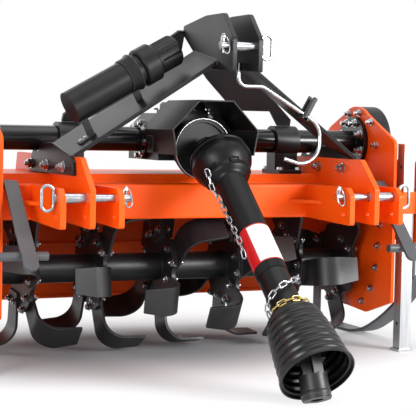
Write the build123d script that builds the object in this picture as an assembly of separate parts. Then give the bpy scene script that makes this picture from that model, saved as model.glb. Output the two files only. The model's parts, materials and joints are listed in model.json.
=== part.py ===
# Three-point mounted rotary tiller, millimetres.
# X runs towards the side with the gear case, Y runs to the rear, Z is up.
# Sizes below are measured from the lower hitch pins' axis (Y = 0) and the floor (Z = 0);
# export() moves every piece by middle_y, so that the row's origin is on the floor under the middle.
from build123d import *
import os
from math import atan2, cos, radians, sin, sqrt

# ---- driving dimensions -------------------------------------------------------------------------
middle_y = 146.0            # middle of the machine's length, behind the lower hitch pins

side_x = 645.0              # inner face of each side plate
side_t = 10.0
side_front_y = 178.0
side_rear_y = 830.0

tube_y, tube_z = 430.0, 669.0        # cross tube
tube_r = 38.0
tube_wall = 6.0
tube_flange_r = 86.0
neck_flange_r = 62.0
tube_flange_t = 16.0

rotor_y, rotor_z = 480.0, 262.0
rotor_tube_r = 44.5
swing_r = 258.0
rotor_flange_r = 132.0
rotor_flange_t = 12.0
flange_notch_r = 30.0       # scallops in the flange's rim, between the blades
rotor_end_gap = 8.0
stub_r, stub_length = 30.0, 24.0
flange_first_x = -496.0
flange_pitch = 228.0
flange_count = 5
end_flange_x = 608.0

tine_t = 8.0
tine_root_r = 84.0          # where a blade's foot starts
tine_bolt_r = 112.0         # its bolts, about which it leans back
tine_half = 40.0            # half of its width
tine_lead = 49.0            # its cutting edge stands out to here at the bend
tine_tip_half = 37.0
tine_bend_r = 66.0          # outside of the sideways bend
tine_reach = 132.0          # from the flange's face to the tip
tine_lean = 22.0            # degrees
tine_pairs = 3              # right-hand and left-hand blades on one flange
tine_first = 26.0           # first blade, from straight down towards the front
tine_hand_step = 66.0       # from a right-hand blade to the left-hand one after it
tine_row_step = -17.0       # from one flange to the next

beam_front_y = 236.0
beam_depth = 80.0
beam_bottom_z = 432.0
beam_height = 105.0
beam_wall = 8.0
beam_bevel_y, beam_bevel_z = 40.0, 48.0      # lower rear edge, clear of the blades
beam_edge_r = 7.0

pin_z = 509.0               # lower hitch pins
lug_spacing = 905.0         # between the two middle lug plates
lug_pitch = 85.0
lug_t = 16.0
lug_front = 38.0            # from the pin to the lug's front edge
lug_bottom_z = 425.0
lug_edge_r = 9.0
gusset_z, gusset_t = 480.0, 10.0
gusset_reach, gusset_depth = 66.0, 96.0
thick_pin_r = 14.0
thin_pin_r = 11.0
pin_clearance = 0.3
linch_r = 4.5

mast_x = 41.0               # clevis plate centre
mast_t = 14.0
top_pin_y, top_pin_z = -30.0, 944.0
top_pin_r = 12.5
mast_crown = 96.0           # the clevis plates' top edge above the top pin
mast_nose = 28.0            # their front edge ahead of it
mast_chin = 74.0            # their low edge below it
mast_depth = 330.0          # from the pin back to their rear edge
foot_t = 12.0
foot_front_y, foot_rear_y = 80.0, 502.0
foot_low_z, foot_high_z = 566.0, 620.0
foot_back_z = 656.0         # its hump behind the arm
plate_edge_r = 14.0
brace_t = 10.0
saddle_x, saddle_width, saddle_wall = 369.0, 82.0, 12.0

hood_t = 5.0
hood_top_z = 564.0
hood_front_y, hood_rear_y = 328.0, 690.0
hood_tail_y, hood_tail_z = 792.0, 470.0

board_t = 5.0
board_angle = 78.0          # below the horizontal, at rest
board_length = 338.0
board_gap = 6.0
board_tube_r = 10.0
board_side_gap = 6.0
board_pin_r, board_pin_depth, pin_fit = 6.0, 24.0, 0.05
board_hem_r, board_rib_r = 8.0, 7.0
board_ribs = 70.0, 190.0    # stiffening ribs, up from the hem

gearbox_half_x = 122.0
gearbox_front_y, gearbox_rear_y = 306.0, 556.0
gearbox_low_z, gearbox_high_z = 606.0, 752.0
input_z = 645.0
input_neck_r = 68.0
input_ring_r, input_ring_t = 94.0, 8.0
input_front_y = 242.0

guard_front_y, guard_rear_y = 147.0, 392.0
guard_t = 4.0
guard_top_half, guard_mid_half, guard_low_half = 56.0, 142.0, 128.0
guard_top_z, guard_mid_z, guard_low_z = 792.0, 702.0, 627.0

stand_size, stand_wall = 40.0, 4.0
stand_x, stand_y = 687.0, 172.0
stand_top_z = 669.0
stand_hole_r = 6.0
stand_hole_zs = 89.0, 594.0
cap_plate_t = 4.0
foot_plate_size, foot_plate_t = 54.0, 8.0
sleeve_wall = 6.0
sleeve_clear = 0.3
sleeve_half = stand_size / 2 + sleeve_clear + sleeve_wall
sleeve_low_z, sleeve_high_z = 446.0, 516.0
bracket_t = 8.0
bracket_low_z, bracket_high_z = 352.0, 616.0

skid_x, skid_width, skid_t = 721.0, 65.0, 10.0
skid_flat_front_y, skid_flat_rear_y = 600.0, 712.0

rod_r = 13.0                # front guard rods
rod_y, rod_z = 50.0, 346.0
rod_inner_x, rod_outer_x = 552.0, 700.0
arm_x, arm_width, arm_t = 612.0, 42.0, 10.0
arm_overhang = 62.0         # beyond the rod, past its front

case_depth = 58.0           # gear case on the right side plate
case_top_r, case_low_r = 120.0, 150.0

joint_y = 150.0             # front universal joint of the drive shaft
shaft_angle = 40.7          # below the horizontal, at rest
shaft_length = 806.0        # between the two joints
upper_tube_r, upper_bore_r, upper_tube_end = 45.0, 41.0, 520.0
lower_tube_r, lower_tube_start = 40.0, 300.0
core_r, core_end, bar_r, bar_start = 26.0, 500.0, 20.0, 260.0
cone_r, cone_t, cone_start, cone_end = 86.0, 5.0, 40.0, 156.0
collar_r, collar_length, collar_slots = 54.0, 24.0, 8
bellows_r, bellows_start, bellows_end = 103.0, 640.0, 868.0
bellows_wall, rib_count = 5.0, 6
slide_gap = 1.0
yoke_droop = 25.0           # further bend at the rear joint, at rest
yoke_length = 116.0
cross_r, cross_reach, cross_clear = 9.0, 36.0, 0.05
ear_x, ear_t, ear_width, ear_back = 31.0, 12.0, 28.0, 16.0
spline_r = 17.5
yoke_r = 38.0

link_width, link_wire, link_pitch = 16.0, 3.6, 22.0
link_cut, link_slack = 4.8, 0.5               # bevelled corners, and play between links

canister_r = 47.0
knob_length, lid_collar_length, lid_collar_r = 81.0, 52.0, 57.0
lid_overlap, lid_gap = 40.0, 0.3
knob_flutes, flute_r = 8, 11.0
rail_width, rail_t, strap_t = 34.0, 5.0, 4.0
hook_r, hook_y = 6.0, 60.0
hook_crook_x, hook_crook_z = 303.0, 588.0     # outermost and lowest corner of its crook
hook_top_z, hook_shoulder_x, hook_slope = 834.0, 108.0, -0.566
fork_x, finger_t, finger_width = 252.0, 8.0, 26.0

sides = (("left", -1), ("right", 1))


# ---- helpers ------------------------------------------------------------------------------------
def box(x0, x1, y0, y1, z0, z1):
    return Pos((x0 + x1) / 2, (y0 + y1) / 2, (z0 + z1) / 2) * Box(x1 - x0, y1 - y0, z1 - z0)


def rod(start, end, radius):
    """Round bar between two points."""
    a, b = Vector(*start), Vector(*end)
    return Plane(origin=a, z_dir=(b - a).normalized()) * extrude(Circle(radius), (b - a).length)


def x_bar(x0, x1, y, z, radius):
    return rod((x0, y, z), (x1, y, z), radius)


def x_plate(outline, x0, x1):
    """Plate across X from an outline of (Y, Z) corners. A third number rounds a corner."""
    face = make_face(Polyline(*[(0, corner[0], corner[1]) for corner in outline], close=True))
    for y, z, radius in [corner for corner in outline if len(corner) == 3]:
        face = fillet(face.vertices().sort_by_distance((0, y, z))[:1], radius)
    return Pos(x0, 0, 0) * extrude(face, x1 - x0, dir=(1, 0, 0))


def mirrored(shape, side):
    return shape if side > 0 else mirror(shape, Plane.YZ)


parts = {}


def add(node, shape):
    parts[node] = shape


# ---- frame --------------------------------------------------------------------------------------
beam_rear_y = beam_front_y + beam_depth
beam_top_z = beam_bottom_z + beam_height


def main_beam():
    """Folded box beam, with a bevel behind that the blades pass."""
    def section(inset, radius):
        return [(beam_front_y + inset, beam_bottom_z + inset, radius),
                (beam_rear_y - beam_bevel_y - inset / 2, beam_bottom_z + inset),
                (beam_rear_y - inset, beam_bottom_z + beam_bevel_z + inset / 2),
                (beam_rear_y - inset, beam_top_z - inset), (beam_front_y + inset, beam_top_z - inset, radius)]
    return (x_plate(section(0, beam_edge_r), -side_x, side_x)
            - x_plate(section(beam_wall, 2), -side_x, side_x))


def side_plate(side):
    crown = case_top_r
    outline = [(side_front_y, 156, 12), (334, 106, 12), (470, 116, 60), (side_rear_y - 60, 230, 60),
               (side_rear_y, 330, 40), (side_rear_y, 520, 60), (600, 720, 60),
               (tube_y + crown * 0.6, tube_z + crown * 0.8), (tube_y - crown * 0.6, tube_z + crown * 0.8),
               (side_front_y, 676, 30)]
    plate = x_plate(outline, side_x, side_x + side_t)
    plate += x_bar(side_x, side_x + side_t, tube_y, tube_z, crown)
    plate -= x_bar(side_x - 1, side_x + side_t + 1, rotor_y, rotor_z, stub_r + 5)
    return mirrored(plate, side)


def hood():
    """Sheet over the rotor, from the beam's rear top edge back to the trailing board."""
    outer = [(beam_rear_y, beam_top_z), (hood_front_y, hood_top_z), (hood_rear_y, hood_top_z),
             (hood_tail_y, hood_tail_z)]
    skin = [(beam_rear_y, beam_top_z - 12), (hood_front_y + hood_t, hood_top_z - hood_t),
            (hood_rear_y - hood_t / 2, hood_top_z - hood_t), (hood_tail_y - hood_t, hood_tail_z)]
    return x_plate(outer + skin[::-1], -side_x, side_x)


def cross_tube(side):
    inner_x = gearbox_half_x
    shape = x_bar(inner_x, side_x, tube_y, tube_z, tube_r)
    shape += x_bar(inner_x, inner_x + tube_flange_t, tube_y, tube_z, neck_flange_r)
    shape += x_bar(side_x - tube_flange_t, side_x, tube_y, tube_z, tube_flange_r)
    shape -= x_bar(inner_x - 1, side_x + 1, tube_y, tube_z, tube_r - tube_wall)
    return mirrored(shape, side)


def gearbox():
    shape = box(-gearbox_half_x, gearbox_half_x, gearbox_front_y, gearbox_rear_y,
                gearbox_low_z, gearbox_high_z)
    shape = chamfer(shape.edges().filter_by(Axis.Y).group_by(Axis.Z)[-1], 46)
    neck = rod((0, input_front_y + input_ring_t, input_z), (0, gearbox_front_y + 30, input_z), input_neck_r)
    ring = Pos(0, input_front_y, input_z) * Rot(-90, 0, 0) * extrude(
        Circle(input_ring_r) - Circle(input_ring_r - 14), input_ring_t + 6)
    disc = rod((0, input_front_y + input_ring_t, input_z), (0, input_front_y + 22, input_z), input_ring_r - 4)
    return shape + neck + ring + disc


def input_fork():
    """Splined stub out of the gearbox with the first fork, whose ears hold the cross's upright pin."""
    stub = rod((0, joint_y + 60, input_z), (0, input_front_y + input_ring_t, input_z), 24)
    return stub + fork((0, joint_y, input_z), (0, 1, 0), (0, 0, 1), 37, 47, 62)


def pto_guard():
    def profile(grow):
        return [(-guard_low_half - grow, guard_low_z), (-guard_mid_half - grow, guard_mid_z),
                (-guard_top_half - grow * 0.4, guard_top_z + grow), (guard_top_half + grow * 0.4, guard_top_z + grow),
                (guard_mid_half + grow, guard_mid_z), (guard_low_half + grow, guard_low_z)]
    outline = profile(0) + profile(-guard_t)[::-1]
    face = make_face(Polyline(*[(x, guard_front_y, z) for x, z in outline], close=True))
    hoop = extrude(face, guard_rear_y - guard_front_y, dir=(0, 1, 0))
    for side in (-1, 1):
        x0, x1 = sorted((side * (gearbox_half_x), side * (guard_mid_half - guard_t + 1)))
        hoop += box(x0, x1, gearbox_front_y + 4, gearbox_front_y + 50, guard_low_z + 4, guard_low_z + 54)
        ends = (side * (gearbox_half_x - 1), side * (guard_mid_half + 10))
        hoop -= x_bar(*ends, tube_y, tube_z, neck_flange_r + 3)
    return hoop


# ---- hitch --------------------------------------------------------------------------------------
def lug_outline(front_cut, rear_y):
    return [(-lug_front, lug_bottom_z, lug_edge_r), (rear_y, lug_bottom_z + 8),
            (rear_y, beam_top_z), (-lug_front + front_cut, beam_top_z, lug_edge_r),
            (-lug_front, beam_top_z - front_cut, lug_edge_r)]


def lug(x, hole_r):
    plate = x_plate(lug_outline(24, beam_front_y), x - lug_t / 2, x + lug_t / 2)
    plate -= x_bar(x - lug_t, x + lug_t, 0, pin_z, hole_r)
    return plate - x_bar(x - lug_t, x + lug_t, 4, 456, 9)


def middle_plate(side):
    """The tallest lug: it wraps the beam and carries the mast's foot behind it."""
    x = lug_spacing / 2
    outline = [(-lug_front, lug_bottom_z, lug_edge_r), (beam_front_y, lug_bottom_z + 8),
               (beam_front_y, beam_top_z), (beam_rear_y, beam_top_z), (hood_front_y, hood_top_z),
               (hood_rear_y - 4, hood_top_z), (hood_rear_y - 20, foot_high_z, plate_edge_r),
               (52, foot_high_z, plate_edge_r), (-lug_front, beam_top_z - 4, lug_edge_r)]
    plate = x_plate(outline, x - lug_t / 2, x + lug_t / 2)
    plate -= x_bar(x - lug_t, x + lug_t, 0, pin_z, thick_pin_r + pin_clearance)
    plate -= x_bar(x - lug_t, x + lug_t, 4, 456, 9)
    return mirrored(plate, side)


def hitch_lugs(side):
    middle = lug_spacing / 2
    outer = lug(middle + lug_pitch, thick_pin_r + pin_clearance)
    inner = lug(middle - lug_pitch, thin_pin_r + pin_clearance)
    outer += gusset(middle + lug_pitch + lug_t / 2, gusset_reach)
    inner += gusset(middle - lug_pitch - lug_t / 2, -gusset_reach)
    return mirrored(outer + inner, side)


def gusset(x, reach):
    """Flat triangle that braces a lug sideways against the beam."""
    corners = [(x, beam_front_y), (x, beam_front_y - gusset_depth), (x + reach, beam_front_y)]
    face = make_face(Polyline(*[(x, y, gusset_z) for x, y in corners], close=True))
    return extrude(face, gusset_t, dir=(0, 0, 1))


def ring_handle(x, y, z, half_width, half_height, wire):
    """Oval ring of round bar in the XZ plane, whose near side runs through x."""
    plane = Plane(origin=(x + half_width, y, z), x_dir=(1, 0, 0), z_dir=(0, -1, 0))
    outline = SlotOverall(2 * (half_height + wire), 2 * (half_width + wire), rotation=90)
    outline -= SlotOverall(2 * (half_height - wire), 2 * (half_width - wire), rotation=90)
    ring = extrude(plane * outline, wire, both=True)
    return fillet(ring.edges(), wire * 0.7)


def lower_pin(side):
    middle = lug_spacing / 2
    outer_end = middle + lug_pitch + lug_t / 2 + 8
    shape = x_bar(middle - lug_t / 2, outer_end, 0, pin_z, thick_pin_r)
    shape += x_bar(middle - lug_pitch - lug_t / 2 - 30, middle, 0, pin_z, thin_pin_r)
    shape += ring_handle(outer_end, 0, pin_z, 17, 35, 4.5)
    hole_x = middle - lug_pitch - lug_t / 2 - 18
    shape -= rod((hole_x, 0, pin_z - 20), (hole_x, 0, pin_z + 20), linch_r + pin_fit)
    return mirrored(shape, side)


def top_pin():
    outer_end = mast_x + mast_t / 2 + 8
    shape = x_bar(-mast_x - mast_t / 2 - 26, outer_end, top_pin_y, top_pin_z, top_pin_r)
    shape += ring_handle(outer_end, top_pin_y, top_pin_z, 17, 35, 4.5)
    hole_x = -mast_x - mast_t / 2 - 16
    return shape - rod((hole_x, top_pin_y, top_pin_z - 20), (hole_x, top_pin_y, top_pin_z + 20), linch_r + pin_fit)


def linch_pins():
    shape = Part()
    middle = lug_spacing / 2
    for side in (-1, 1):
        x = side * (middle - lug_pitch - lug_t / 2 - 18)
        shape += rod((x, 0, pin_z - thin_pin_r - 8), (x, 0, pin_z + thin_pin_r + 14), linch_r)
    x = -mast_x - mast_t / 2 - 16
    return shape + rod((x, top_pin_y, top_pin_z - top_pin_r - 8), (x, top_pin_y, top_pin_z + top_pin_r + 14), linch_r)


# ---- mast ---------------------------------------------------------------------------------------
foot_x = lug_spacing / 2 + lug_t / 2 + foot_t / 2
arm_top_front = Vector(mast_x, top_pin_y + mast_depth - 160, top_pin_z - mast_chin + 18)
arm_top_rear = Vector(mast_x, top_pin_y + mast_depth - 8, top_pin_z + mast_crown - 28)
arm_low_front, arm_low_rear = Vector(foot_x, 82, 632), Vector(foot_x, 186, 688)
arm_normal = (arm_low_front - arm_top_front).cross(arm_top_rear - arm_top_front).normalized()
arm_low_rear = arm_low_rear - arm_normal * (arm_low_rear - arm_top_front).dot(arm_normal)


def mast_half(side):
    front_y, rear_y = top_pin_y - mast_nose, top_pin_y + mast_depth
    low_z, high_z = top_pin_z - mast_chin, top_pin_z + mast_crown
    clevis = x_plate([(front_y, low_z, plate_edge_r), (front_y, top_pin_z + 22, plate_edge_r),
                      (front_y + 70, high_z, plate_edge_r), (rear_y - 165, high_z, plate_edge_r),
                      (rear_y, high_z - 22), (rear_y, high_z - 50), (rear_y - 152, low_z + 14)],
                     mast_x - mast_t / 2, mast_x + mast_t / 2)
    clevis -= x_bar(0, 2 * mast_x, top_pin_y, top_pin_z, top_pin_r + pin_clearance)
    foot = x_plate([(foot_front_y, foot_low_z, plate_edge_r), (foot_front_y, 640), (190, 696),
                    (tube_y - tube_r - 26, foot_back_z), (foot_rear_y - 40, foot_high_z + 14, 30),
                    (foot_rear_y, foot_low_z, 2 * plate_edge_r)],
                   foot_x - foot_t / 2, foot_x + foot_t / 2)
    foot -= x_bar(0, 2 * foot_x, tube_y, tube_z, tube_r + 6)
    strip = make_face(Polyline(arm_top_front, arm_top_rear, arm_low_rear, arm_low_front, close=True))
    arm = extrude(strip, mast_t / 2, dir=arm_normal, both=True)
    return mirrored(clevis + arm + foot, side)


def mast_brace(side):
    """Flat plate from the clevis back and down to the saddle on the cross tube."""
    top_y, top_z, low_y, low_z = 306, 1004, 428, tube_z + tube_r + saddle_wall + 2
    outline = [(mast_x, 884), (66, 859), (178, 767), (307, 767), (saddle_x - 24, low_z), (saddle_x + 24, low_z),
               (saddle_x + 22, 742), (mast_x + 20, top_z), (mast_x, top_z)]
    slope = (low_y - top_y) / (low_z - top_z)
    face = make_face(Polyline(*[(x, top_y + (z - top_z) * slope, z) for x, z in outline], close=True))
    return mirrored(extrude(face, brace_t / 2, dir=(0, cos(atan2(slope, 1)), -sin(atan2(slope, 1))), both=True), side)


def saddle(side):
    """Clamp round the cross tube, standing on the hood."""
    x0, x1 = saddle_x - saddle_width / 2, saddle_x + saddle_width / 2
    shape = x_bar(x0, x1, tube_y, tube_z, tube_r + saddle_wall)
    shape += box(x0, x1, tube_y - 30, tube_y + 30, hood_top_z, tube_z)
    shape += box(x0, x1, tube_y - 62, tube_y + 62, hood_top_z, hood_top_z + 12)
    shape -= x_bar(x0 - 1, x1 + 1, tube_y, tube_z, tube_r)
    return mirrored(shape, side)


# ---- sides --------------------------------------------------------------------------------------
def gear_case():
    x0 = side_x + side_t
    shape = x_bar(x0, x0 + case_depth, tube_y, tube_z, case_top_r)
    shape += x_bar(x0, x0 + case_depth, rotor_y, rotor_z, case_low_r)
    lean = atan2(rotor_y - tube_y, tube_z - rotor_z)
    c, s = cos(lean), sin(lean)
    web = [(tube_y - case_top_r * c, tube_z - case_top_r * s), (tube_y + case_top_r * c, tube_z + case_top_r * s),
           (rotor_y + case_low_r * c, rotor_z + case_low_r * s), (rotor_y - case_low_r * c, rotor_z - case_low_r * s)]
    shape += x_plate(web, x0, x0 + case_depth)
    return shape - x_bar(x0 - 1, x0 + stub_length + 2, rotor_y, rotor_z, stub_r + pin_fit)


def bearing_housing():
    x0 = side_x + side_t
    shape = x_bar(x0, x0 + 46, rotor_y, rotor_z, 96)
    shape -= x_bar(x0 - 1, x0 + stub_length + 2, rotor_y, rotor_z, stub_r + pin_fit)
    return mirrored(shape, -1)


def skid(side):
    """Runner outside the stand: flat on the floor behind, swept up to the stand's bracket in front."""
    def line(offset):
        y, z, points = skid_flat_front_y, 0.0, []
        for radius, first, last in ((380.0, 0.0, 25.0), (900.0, 25.0, 47.0)):
            for i in range(7):
                a, b = radians(first), radians(first + (last - first) * i / 6)
                points.append((y - radius * (sin(b) - sin(a)) + offset * sin(b),
                               z + radius * (cos(a) - cos(b)) + offset * cos(b)))
            a, b = radians(first), radians(last)
            y, z = y - radius * (sin(b) - sin(a)), z + radius * (cos(a) - cos(b))
        return points[:7] + points[8:]
    outer, inner = line(0), line(skid_t)
    strip = x_plate([(skid_flat_rear_y, 0)] + outer + inner[::-1] + [(skid_flat_rear_y, skid_t)],
                    skid_x, skid_x + skid_width)
    tab_x = stand_x + sleeve_half + bracket_t
    tab = x_plate([(168, 238), (214, 196), (214, bracket_low_z + 60), (168, bracket_low_z + 60)],
                  tab_x, tab_x + 8)
    plate_x = side_x + side_t
    heel = box(plate_x, skid_x + 40, 668, skid_flat_rear_y, skid_t, skid_t + 8)
    heel += box(plate_x, plate_x + 8, 668, skid_flat_rear_y, skid_t, 240)
    return mirrored(strip + tab + heel, side)


def guard_rods(side):
    """Round rod in front of the stand, on a flat strap that slopes down from the beam's top."""
    shape = x_bar(rod_inner_x, rod_outer_x, rod_y, rod_z, rod_r)
    half = arm_width / 2
    slope = Vector(0, beam_front_y - rod_y, beam_top_z - rod_z).normalized()
    across = Vector(0, -slope.Z, slope.Y)
    end = Vector(0, rod_y, rod_z) + across * (rod_r - 1) - slope * arm_overhang
    knee = end + slope * ((beam_top_z - end.Z) / slope.Z)
    upper_end = end + across * arm_t
    upper_knee = upper_end + slope * ((beam_top_z + arm_t - upper_end.Z) / slope.Z)
    strap = x_plate([(end.Y, end.Z), (knee.Y, knee.Z), (beam_rear_y - 8, beam_top_z),
                     (beam_rear_y - 8, beam_top_z + arm_t), (upper_knee.Y, upper_knee.Z),
                     (upper_end.Y, upper_end.Z)], arm_x - half, arm_x + half)
    strap = fillet(strap.edges().filter_by(Axis((0, 0, 0), across)).group_by(Axis.Z)[0], half - 4)
    return mirrored(shape + strap, side)


def stand_bracket(side):
    out = sleeve_half
    hole = stand_size / 2 + sleeve_clear
    sleeve = box(stand_x - out, stand_x + out, stand_y - out, stand_y + out, sleeve_low_z, sleeve_high_z)
    plate = box(stand_x + out, stand_x + out + bracket_t, stand_y - 40, stand_y + 120,
                bracket_low_z, bracket_high_z)
    shelf = box(side_x + side_t, stand_x + out, stand_y + out, stand_y + out + 30, sleeve_low_z, sleeve_high_z)
    shape = sleeve + plate + shelf
    shape -= box(stand_x - hole, stand_x + hole, stand_y - hole, stand_y + hole, 0, 1000)
    return mirrored(shape, side)


def stand_leg(side):
    half = stand_size / 2
    leg = box(stand_x - half, stand_x + half, stand_y - half, stand_y + half, foot_plate_t, stand_top_z)
    bore = half - stand_wall
    leg -= box(stand_x - bore, stand_x + bore, stand_y - bore, stand_y + bore, foot_plate_t,
               stand_top_z - cap_plate_t)
    for z in stand_hole_zs:
        leg -= x_bar(stand_x - stand_size, stand_x + stand_size, stand_y, z, stand_hole_r)
    leg += box(stand_x - half - 1, stand_x + half + 1, stand_y - half - 1, stand_y + half + 1,
               stand_top_z - cap_plate_t, stand_top_z)
    plate = box(stand_x - foot_plate_size / 2, stand_x + foot_plate_size / 2,
                stand_y - foot_plate_size / 2, stand_y + foot_plate_size / 2, 0, foot_plate_t)
    return mirrored(leg + plate, side)


# ---- rotor --------------------------------------------------------------------------------------
flange_xs = [flange_first_x + flange_pitch * i for i in range(flange_count)]


def tine():
    """Flat blade that lies against a flange's +X face, then bends out to +X. It points up, its edge to -Y."""
    rise = sqrt(swing_r ** 2 - (tine_lead + tine_bolt_r * sin(radians(tine_lean))) ** 2)
    top = rise + tine_bolt_r * (1 - cos(radians(tine_lean)))
    bend_z = top - tine_bend_r
    turn = tine_bend_r - tine_t
    side = Polyline((0, 0, tine_root_r), (0, 0, bend_z)) + ThreePointArc(
        (0, 0, bend_z), (tine_bend_r * (1 - sqrt(0.5)), 0, bend_z + tine_bend_r * sqrt(0.5)),
        (tine_bend_r, 0, top)) + Polyline(
        (tine_bend_r, 0, top), (tine_reach, 0, top), (tine_reach, 0, top - tine_t), (tine_bend_r, 0, top - tine_t)
    ) + ThreePointArc((tine_bend_r, 0, top - tine_t),
                      (tine_bend_r - turn * sqrt(0.5), 0, bend_z + turn * sqrt(0.5)), (tine_t, 0, bend_z)
                      ) + Polyline((tine_t, 0, bend_z), (tine_t, 0, tine_root_r), (0, 0, tine_root_r))
    blade = extrude(make_face(side), tine_lead, dir=(0, 1, 0), both=True)
    flat = [(-tine_half, tine_root_r), (-tine_lead, bend_z + 20), (-tine_lead, top + 1),
            (tine_half, top + 1), (tine_half, tine_root_r)]
    blade &= x_plate(flat, -1, tine_reach + 1)
    tip = [(-tine_lead, tine_bend_r), (-tine_tip_half, tine_reach), (tine_tip_half, tine_reach),
           (tine_half, tine_bend_r), (tine_half, -1), (-tine_lead, -1)]
    face = make_face(Polyline(*[(x, y, 0) for y, x in tip], close=True))
    blade &= extrude(face, top + 1, dir=(0, 0, 1))
    return Pos(0, 0, tine_bolt_r) * Rot(-tine_lean, 0, 0) * Pos(0, 0, -tine_bolt_r) * blade


def rotor_tube():
    """The reel: tube, stub shafts, flanges with shallow scallops and every blade, in one piece."""
    half = side_x - rotor_end_gap
    shape = x_bar(-half, half, rotor_y, rotor_z, rotor_tube_r)
    for side in (-1, 1):
        shape += x_bar(side * half, side * (side_x + side_t + stub_length), rotor_y, rotor_z, stub_r)
    right_hand = tine()
    left_hand = mirror(right_hand, Plane.YZ)
    for row, x in enumerate(flange_xs + [end_flange_x]):
        flange = x_bar(-rotor_flange_t / 2, rotor_flange_t / 2, 0, 0, rotor_flange_r)
        blades = []
        for i in range(tine_pairs):
            angle = tine_first + tine_row_step * row + 360 / tine_pairs * i
            if x != end_flange_x:
                blades.append(Pos(rotor_flange_t / 2, 0, 0) * Rot(180 - angle, 0, 0) * right_hand)
            blades.append(Pos(-rotor_flange_t / 2, 0, 0) * Rot(180 - angle - tine_hand_step, 0, 0) * left_hand)
        for i in range(2 * tine_pairs):
            angle = radians(tine_first + tine_hand_step / 2 + tine_row_step * row + 180 / tine_pairs * i)
            reach = rotor_flange_r + flange_notch_r - 12
            flange -= x_bar(-rotor_flange_t, rotor_flange_t, -reach * sin(angle), -reach * cos(angle), flange_notch_r)
        shape += Pos(x, rotor_y, rotor_z) * (flange + blades)
    return shape


# ---- trailing board -----------------------------------------------------------------------------
pivot_y, pivot_z = hood_tail_y + board_tube_r + 1, hood_tail_z - board_gap - board_tube_r
board_half = side_x - board_side_gap


def trailing_board():
    a = radians(board_angle)
    dy, dz, ny, nz = cos(a), -sin(a), sin(a), cos(a)
    sheet = x_plate([(pivot_y, pivot_z), (pivot_y + ny * board_t, pivot_z + nz * board_t),
                     (pivot_y + ny * board_t + dy * board_length, pivot_z + nz * board_t + dz * board_length),
                     (pivot_y + dy * board_length, pivot_z + dz * board_length)], -board_half, board_half)
    board = sheet + x_bar(-board_half, board_half, pivot_y, pivot_z, board_tube_r)
    for distance, radius in [(board_length, board_hem_r)] + [(board_length - rise, board_rib_r) for rise in board_ribs]:
        middle = (pivot_y + ny * board_t / 2 + dy * distance, pivot_z + nz * board_t / 2 + dz * distance)
        board += x_bar(-board_half, board_half, *middle, radius)
    for side in (-1, 1):
        ends = (side * (board_half - board_pin_depth - 2), side * (board_half + 1))
        board -= x_bar(*ends, pivot_y, pivot_z, board_pin_r + pin_fit)
    return board


def board_pins():
    """Hinge pins from the side plates into the ends of the board's tube."""
    shape = Part()
    for side in (-1, 1):
        shape += x_bar(side * (board_half - board_pin_depth), side * side_x, pivot_y, pivot_z, board_pin_r)
    return shape


# ---- drive shaft --------------------------------------------------------------------------------
down = radians(shaft_angle)
shaft_dir = Vector(0, -cos(down), -sin(down))
joint = Vector(0, joint_y, input_z)
shaft_up = Vector(0, -sin(down), cos(down))
rear_joint = joint + shaft_dir * shaft_length
yoke_down = radians(shaft_angle + yoke_droop)
yoke_dir = Vector(0, -cos(yoke_down), -sin(yoke_down))
yoke_up = Vector(0, -sin(yoke_down), cos(yoke_down))


def along(distance):
    return joint + shaft_dir * distance


def turned(profile, origin, direction):
    """Solid of revolution about an axis, from (radius, distance) corners."""
    plane = Plane(origin=origin, x_dir=(1, 0, 0), z_dir=direction)
    face = make_face(Polyline(*[(r, 0, d) for r, d in profile], close=True))
    return plane * revolve(face, Axis.Z)


def joint_cross(origin, axis_a, axis_b):
    a, b = axis_a * cross_reach, axis_b * cross_reach
    return rod(origin - a, origin + a, cross_r) + rod(origin - b, origin + b, cross_r)


def fork(origin, direction, spread, base_r, base_start, base_end):
    """Round base with two ears that hold one pin of a cross. The ears stand apart along spread."""
    origin, direction, spread = Vector(origin), Vector(direction), Vector(spread)
    shape = rod(origin + direction * base_start, origin + direction * base_end, base_r)
    for side in (-1, 1):
        start = origin + spread * (side * ear_x) - direction * ear_back
        shape += Plane(origin=start, x_dir=spread, z_dir=direction) * extrude(
            Rectangle(ear_t, ear_width), base_start + ear_back + 2)
    return shape - rod(origin - spread * 60, origin + spread * 60, cross_r + cross_clear)


def upper_guard():
    """Guard tube with the bell that shields the front joint, and the slotted collar that holds it."""
    tube = turned([(upper_bore_r, 95), (upper_tube_r, 95), (upper_tube_r, upper_tube_end),
                   (upper_bore_r, upper_tube_end)], joint, shaft_dir)
    start, end = cone_start, cone_end
    bell = [(cone_r, start), (cone_r - 1, start + 34), (cone_r - 5, start + 56), (cone_r - 13, start + 76),
            (cone_r - 24, start + 94), (upper_tube_r + 5, end)]
    inner = [(r - cone_t, d) for r, d in bell]
    cone = turned(bell + [(upper_tube_r - 2, end)] + inner[::-1], joint, shaft_dir)
    collar = turned([(upper_tube_r - 1, end - 3), (collar_r, end - 3), (collar_r, end + collar_length),
                     (upper_tube_r - 1, end + collar_length)], joint, shaft_dir)
    around = Plane(origin=joint, x_dir=(1, 0, 0), z_dir=shaft_dir)
    for i in range(collar_slots):
        collar -= around * Rot(0, 0, 360 / collar_slots * i) * Pos(collar_r, 0, end + collar_length) * Box(6, 14, 26)
    return tube + cone + collar


def upper_core():
    shape = fork(joint, shaft_dir, Vector(1, 0, 0), 30, 52, 66)
    shape += rod(along(60), along(core_end), core_r)
    shape -= rod(along(80), along(core_end + 1), bar_r + slide_gap)
    flange = turned([(core_r - 2, 98), (upper_bore_r + 2, 98), (upper_bore_r + 2, 108), (core_r - 2, 108)],
                    joint, shaft_dir)
    return shape + flange - turned([(upper_bore_r, 90), (90, 90), (90, 120), (upper_bore_r, 120)], joint, shaft_dir)


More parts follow.
